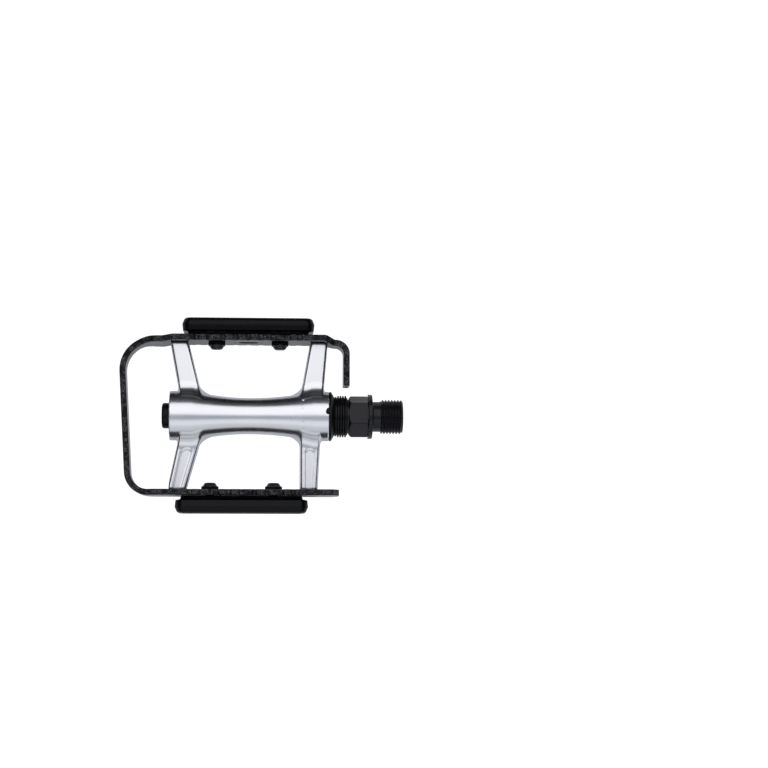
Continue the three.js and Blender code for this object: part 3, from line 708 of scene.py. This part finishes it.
def makeAxle():
    # one skin of radius over length and turn: round stretches, the hexagon's flats cut by its
    # chamfers, and a left-hand thread whose phase runs back with the turn
    a = axleShape
    turn = np.linspace(0, 2 * np.pi, a["sides"], endpoint=False)
    body, hexRun, collar, thread = axleOutline()
    sector = (turn - math.radians(a["hexTurn"]) + math.pi / 6) % (math.pi / 3) - math.pi / 6
    flats = a["hexAcross"] / 2 / np.cos(sector)
    corner = a["hexAcross"] / 2 + a["hexChamfer"]
    fromEnd = np.minimum(hexRun[:, 0] - a["hexEnd"], (a["collarBack"] - hexRun[:, 0]) * 1.6 + 0.35)
    limit = a["hexAcross"] / 2 - 0.1 + fromEnd * 1.35
    hexRadius = np.minimum(np.minimum(flats[None, :], limit[:, None]), corner + 0.32)
    phase = (thread[:, 0, None] / a["pitch"] + turn / (2 * np.pi)) % 1
    ridge = np.clip(np.abs(phase - 0.5) * 2 * 1.25 - 0.12, 0, 1)
    depth = a["depth"] * ridge
    intoNeck = np.clip((thread[:, 0] - a["neckEnd"]) / a["runOut"], 0, 1)[:, None]
    chamfer = a["major"] - np.maximum(a["chamfer"] + thread[:, 0], 0)[:, None] ** 2 * 0.55
    threadRadius = np.minimum(a["major"] - depth, chamfer)
    threadRadius = a["neck"] + (threadRadius - a["neck"]) * intoNeck
    x = np.concatenate([body[:, 0], hexRun[:, 0], collar[:, 0], thread[:, 0]])
    flat = np.ones(len(turn))
    radius = np.concatenate([body[:, 1, None] * flat, hexRadius, collar[:, 1, None] * flat, threadRadius])
    rings = np.stack([x[:, None] + 0 * turn, radius * np.cos(turn), radius * np.sin(turn)], -1)
    points, faces = ringStack(rings)
    return makePiece("axleSpindle", points, faces, "axle", 28)


makeAxle()
print("axle done")


# ---- seal sleeve and dust cap ----

sealShape = {
    "bore": 6.7, "plug": 8.6, "plugEnd": -33.4, "flangeFoot": -30.4, "flange": 10.28, "flangeTip": -29.7,
    "neck": -28.3, "ribStart": -28.1, "ribPitch": 1.0, "ribs": 5, "root": 7.7, "low": 8.2, "high": 8.6,
    "end": -22.9,
}
capShape = {
    "plug": 8.5, "faceX": -95.9, "plugEnd": -92.8, "plugWall": 7.5, "disc": -94.7, "hollow": 4.4,
    "hollowEnd": -97.8,
    "boss": 5.25, "bossEnd": -99.0, "rim": 1.0, "root": 0.35,
}


def makeSeal():
    s = sealShape
    corners = [
        (s["plugEnd"], s["bore"]), (s["plugEnd"], s["plug"], 0.3), (s["flangeFoot"], s["plug"]),
        (s["flangeFoot"], s["flange"] - 0.15, 0.1), (s["flangeTip"], s["flange"], 0.2),
        (s["neck"], s["root"] + 0.2, 0.4),
    ]
    for i in range(s["ribs"]):
        start = s["ribStart"] + i * s["ribPitch"]
        top = s["low"] if i < 1 else s["high"]
        corners += [
            (start, s["root"], 0.12), (start + 0.12, top, 0.14), (start + s["ribPitch"] - 0.34, top, 0.14),
            (start + s["ribPitch"] - 0.22, s["root"], 0.12),
        ]
    corners += [(s["end"], s["root"] + 0.1, 0.1), (s["end"], s["bore"])]
    outline = bentLine(corners, 0, 0.5)
    sleeve = lathe(outline, 112, True)
    turn = np.linspace(0, 2 * np.pi, 24, endpoint=False)
    b = barrelShape
    tops = np.array([9.0, b["endRadius"] - 0.35, b["endRadius"] - 0.12, b["endRadius"] - 0.08])
    sizes = np.array([1.1, 1.1, 0.95, 0.5])
    stubX = b["inboard"] + sizes[:, None] * np.cos(turn)
    stubY = b["notchY"] + sizes[:, None] * np.sin(turn)
    rings = np.stack([stubX, stubY, tops[:, None] - 0.45 + 0 * turn], -1)
    points, faces = joined([sleeve, ringStack(rings)])
    return makePiece("sealSleeve", points, faces, "axle_seal", 30)


def makeDustCap():
    c = capShape
    outline = bentLine((
        (c["bossEnd"], 0.01), (c["bossEnd"], c["boss"], c["rim"]), (c["faceX"], c["boss"], c["root"]),
        (c["faceX"], c["plug"], 0.2), (c["plugEnd"], c["plug"], 0.3), (c["plugEnd"], c["plugWall"], 0.2),
        (c["disc"], c["plugWall"], 0.3), (c["disc"], c["hollow"], 0.2), (c["hollowEnd"], c["hollow"], 0.3),
        (c["hollowEnd"], 0.01),
    ), 0)
    points, faces = lathe(outline, 96)
    return makePiece("dustCap", points, faces, "dust_cap", 35)


makeSeal()
makeDustCap()
print("seal and cap done")


# ---- reflectors ----

reflectorShape = {
    "plateFace": 33.05, "halfLength": 27.15, "half": 8.5, "corner": 4.0,
    "lensHalfLength": 23.8, "lensHalf": 5.8, "lensCorner": 2.3,
    "section": (  # inset from the outline, distance from the plate, bend
        (2.9, 0.0), (2.5, 0.0, 0.25), (2.2, 1.35, 0.25), (0.3, 1.75, 0.3),
        (0.0, 4.5, 0.4), (0.85, 6.45, 0.5), (1.5, 6.9, 0.3), (2.7, 6.9, 0.15), (2.75, 4.75, 0.15), (3.4, 4.7),
    ),
    "lensSection": ((1.2, 4.75), (0.0, 4.85, 0.1), (0.0, 6.45, 0.25), (0.5, 6.6, 0.4), (5.2, 6.65)),
}
reflectorSides = {"front": (1, -63.8), "rear": (-1, -66.1)}


def frameRings(section, halfLength, half, corner, perCorner=10, perSide=12):
    # rounded-rectangle rings: each row of the section shrinks the outline by its inset
    arc = np.linspace(0, np.pi / 2, perCorner)
    mix = np.linspace(0, 1, perSide + 2)[1:-1, None]
    rings = []
    for inset, distance in section:
        bend = max(corner - inset, 0.25)
        reach = (halfLength - inset - bend, half - inset - bend)
        bends = []
        for k, signs in enumerate(((1, 1), (-1, 1), (-1, -1), (1, -1))):
            turn = arc + k * np.pi / 2
            bends.append(np.multiply(signs, reach) + bend * np.stack([np.cos(turn), np.sin(turn)], -1))
        loop = []
        for here, following in zip(bends, bends[1:] + bends[:1]):
            loop += [here, here[-1] * (1 - mix) + following[0] * mix]
        loop = np.concatenate(loop)
        rings.append(np.stack([loop[:, 0], np.full(len(loop), distance), loop[:, 1]], -1))
    return np.array(rings)


def placeReflector(points, side, middle):
    return points * (1, side, 1) + (middle, side * reflectorShape["plateFace"], 0)


for name, (side, middle) in reflectorSides.items():
    r = reflectorShape
    shell = frameRings(bentLine(r["section"], 0, 0.25), r["halfLength"], r["half"], r["corner"])
    lensLine = bentLine(r["lensSection"], 0, 0.25)
    lens = frameRings(lensLine, r["lensHalfLength"], r["lensHalf"], r["lensCorner"])
    for part, rings in (("Housing", shell), ("Lens", lens)):
        points, faces = ringStack(rings)
        node = f"{name}_reflector_{part.lower()}"
        makePiece(name + part, placeReflector(points, side, middle), faces, node, 32)
print("reflectors done")


# ---- fasteners ----

nutShape = {"across": 7.0, "hexDepth": 1.5, "bore": 2.1, "collar": 2.95, "collarDepth": 1.35, "seat": 30.38}
studShape = {
    "spacing": 26.0, "radius": 2.0, "tip": 27.5, "head": 35.9, "headRadius": 3.4, "headDepth": 1.4,
    "threaded": 6.5, "pitch": 0.7, "threadDepth": 0.22,
}
screwShape = {
    "face": 32.88, "head": 3.2, "depth": 1.6, "shank": 1.9, "length": 9.0,
    "crossHalf": 0.42, "crossReach": (1.35, 1.75), "crossDepth": 1.1,
}


def turnedOut(outline, sides, side, middle, radiusLimit=None):
    # outline of (distance from the axle's line, radius) rows turned about a line along Y
    turn = np.linspace(0, 2 * np.pi, sides, endpoint=False)
    radius = outline[:, 1, None] + 0 * turn
    if radiusLimit is not None:
        radius = np.minimum(radius, radiusLimit(turn))
    y = side * outline[:, 0, None] + 0 * turn
    return np.stack([middle + radius * np.cos(turn), y, radius * np.sin(turn)], -1)


def makeNut(node, side, middle):
    # hexagon whose corners are turned down by a chamfer, then a narrower locking collar
    n = nutShape
    hexEnd = n["seat"] - n["hexDepth"]
    end = hexEnd - n["collarDepth"]
    corner = n["across"] / math.sqrt(3)
    outline = bentLine((
        (n["seat"], n["bore"]), (n["seat"], n["across"] / 2 - 0.1), (n["seat"] - 0.35, corner + 0.05),
        (hexEnd + 0.45, corner + 0.05), (hexEnd, n["across"] / 2 - 0.2, 0.1), (hexEnd, n["collar"], 0.2),
        (end + 0.5, n["collar"] - 0.45, 0.5), (end, n["collar"] - 0.95, 0.3), (end, n["bore"] - 0.25, 0.1),
        (end + 0.3, n["bore"] - 0.25), (end + 0.5, n["bore"]),
    ), 0, 0.3)

    def flats(turn):
        sector = (turn + math.pi / 6) % (math.pi / 3) - math.pi / 6
        return n["across"] / 2 / np.cos(sector)

    halves = [np.linspace(a, b, 3)[:-1] for a, b in zip(outline[:-1], outline[1:])]
    dense = np.concatenate(halves + [outline[-1:]])
    rings = turnedOut(dense, 72, side, middle, flats)
    points, faces = ringStack(rings, True)
    return makePiece(nameOf(node), points, faces, node, 28)


def makeStud(node, side, middle):
    # shank with shallow thread rings by its tip, and a head inside the housing
    s = studShape
    threadEnd = s["tip"] + s["threaded"]
    under = s["head"] - s["headDepth"]
    rows = np.arange(s["tip"] + 0.4, threadEnd, s["pitch"] / 6)
    ridge = np.abs(((rows / s["pitch"]) % 1) - 0.5) * 2
    thread = np.stack([rows, s["radius"] - s["threadDepth"] * ridge], -1)
    outline = np.concatenate([
        [(s["tip"], 0.01), (s["tip"], s["radius"] - 0.45)], thread,
        [(threadEnd, s["radius"]), (under, s["radius"]), (under, s["headRadius"] - 0.2),
         (under + 0.2, s["headRadius"]), (s["head"] - 0.3, s["headRadius"]),
         (s["head"], s["headRadius"] - 0.3), (s["head"], 0.01)],
    ])
    points, faces = ringStack(turnedOut(outline, 40, side, middle))
    return makePiece(nameOf(node), points, faces, node, 35)


def makeScrew(node, side, middle):
    # countersunk head with a cross recess pressed into a skin of radius and turn
    s = screwShape
    end = s["face"] - s["length"]
    turn = np.linspace(0, 2 * np.pi, 64, endpoint=False)
    radii = np.linspace(0.02, s["head"] - 0.12, 22)
    crossArm = np.minimum(np.abs(np.sin(turn)), np.abs(np.cos(turn)))[None, :] * radii[:, None]
    inCross = 1 - smoothStep(crossArm, s["crossHalf"] - 0.12, s["crossHalf"] + 0.12)
    inCross = inCross * (1 - smoothStep(radii, *s["crossReach"]))[:, None]
    faceDepth = s["crossDepth"] * inCross * np.clip(1.25 - radii[:, None] / 1.9, 0, 1)
    faceRings = np.stack([middle + radii[:, None] * np.cos(turn), side * (s["face"] - faceDepth),
                          radii[:, None] * np.sin(turn)], -1)
    outline = np.array([
        (s["face"] - 0.06, s["head"]), (s["face"] - s["depth"], s["shank"]), (end + 0.6, s["shank"]),
        (end, s["shank"] - 0.5), (end, 0.02),
    ])
    sideRings = turnedOut(outline, 64, side, middle)
    points, faces = ringStack(np.concatenate([faceRings, sideRings]))
    return makePiece(nameOf(node), points, faces, node, 35)


for name, (side, middle) in reflectorSides.items():
    for place, hand in (("outboard", -1), ("inboard", 1)):
        studX = middle + hand * studShape["spacing"] / 2
        makeStud(f"{name}_stud_{place}", side, studX)
        makeNut(f"{name}_nut_{place}", side, studX)
for name, place in armPlaces.items():
    makeScrew(f"cage_screw_{name}", place[0], place[3])
print("fasteners done")


# ---- floor, light and camera ----

studio = {
    "floorHalf": 3.0, "floorGlow": 1.1, "floorColour": rgb(0.80, 0.81, 0.83), "floorBounce": 0.2,
    "sky": rgb(0.80, 0.85, 1.0), "skyStrength": 0.05,
    "reach": 0.9, "length": 1.5,
    "strips": (  # name, turn from straight up toward +Y, angle covered, brightness, colour
        ("backStrip", 29.5, 56.0, 1.18, (1.0, 0.99, 1.0)),
        ("topStrip", -11.0, 26.0, 0.40, (0.88, 0.93, 1.0)),
        ("frontStrip", -38.0, 28.0, 0.92, (0.93, 0.96, 1.0)),
        ("lowFrontStrip", -68.5, 33.0, 0.66, (0.94, 0.97, 1.0)),
    ),
}
cameraView = {"place": (-58.0, -64.0, 780.0), "turn": (5.6746, -3.6978, 0.0355), "lens": 88.82}


def makeFloor():
    floorZ = cadBox[0][2]
    h = studio["floorHalf"]
    mesh = bpy.data.meshes.new("floor")
    corners = [(-h, -h, floorZ), (h, -h, floorZ), (h, h, floorZ), (-h, h, floorZ)]
    mesh.from_pydata(corners, [], [(0, 1, 2, 3)])
    floor = bpy.data.objects.new("floor", mesh)
    bpy.context.scene.collection.objects.link(floor)
    paint = Paint("paleFloor", {
        "Base Color": studio["floorColour"], "Roughness": 0.9,
        "Emission Color": rgb(0.95, 0.96, 1.0), "Emission Strength": studio["floorBounce"],
    })
    seen = paint.node("ShaderNodeLightPath", output="Is Camera Ray")
    glow = paint.node("ShaderNodeEmission", {}, {"Color": rgb(1, 1, 1), "Strength": studio["floorGlow"]})
    cover = paint.node("ShaderNodeMixShader", {}, {0: seen, 2: glow})
    paint.tree.links.new(paint.shader.outputs[0], cover.socket.node.inputs[1])
    output = next(n for n in paint.tree.nodes if n.type == "OUTPUT_MATERIAL")
    paint.tree.links.new(cover.socket, output.inputs["Surface"])
    mesh.materials.append(paint.material)


def makeLights():
    world = bpy.data.worlds.new("studio")
    bpy.context.scene.world = world
    world.use_nodes = True
    background = world.node_tree.nodes["Background"]
    background.inputs["Color"].default_value = studio["sky"]
    background.inputs["Strength"].default_value = studio["skyStrength"]
    for name, turn, cover, brightness, colour in studio["strips"]:
        turn = math.radians(turn)
        width = 2 * studio["reach"] * math.tan(math.radians(cover / 2))
        light = bpy.data.lights.new(name, "AREA")
        light.shape, light.size, light.size_y = "RECTANGLE", studio["length"], width
        light.energy, light.color = brightness * math.pi * studio["length"] * width, colour
        strip = bpy.data.objects.new(name, light)
        strip.location = (-0.06, studio["reach"] * math.sin(turn), studio["reach"] * math.cos(turn))
        strip.rotation_euler = (-turn, 0, 0)
        bpy.context.scene.collection.objects.link(strip)


def makeCamera():
    lens = bpy.data.cameras.new("camera")
    lens.lens, lens.sensor_width = cameraView["lens"], 36.0
    lens.clip_start, lens.clip_end = 0.01, 20.0
    camera = bpy.data.objects.new("camera", lens)
    camera.location = [value * mm for value in cameraView["place"]]
    camera.rotation_euler = Euler([math.radians(turn) for turn in cameraView["turn"]])
    bpy.context.scene.collection.objects.link(camera)
    bpy.context.scene.camera = camera


makeFloor()
makeLights()
makeCamera()
bpy.context.scene.view_settings.view_transform = "Standard"
print("studio ready")
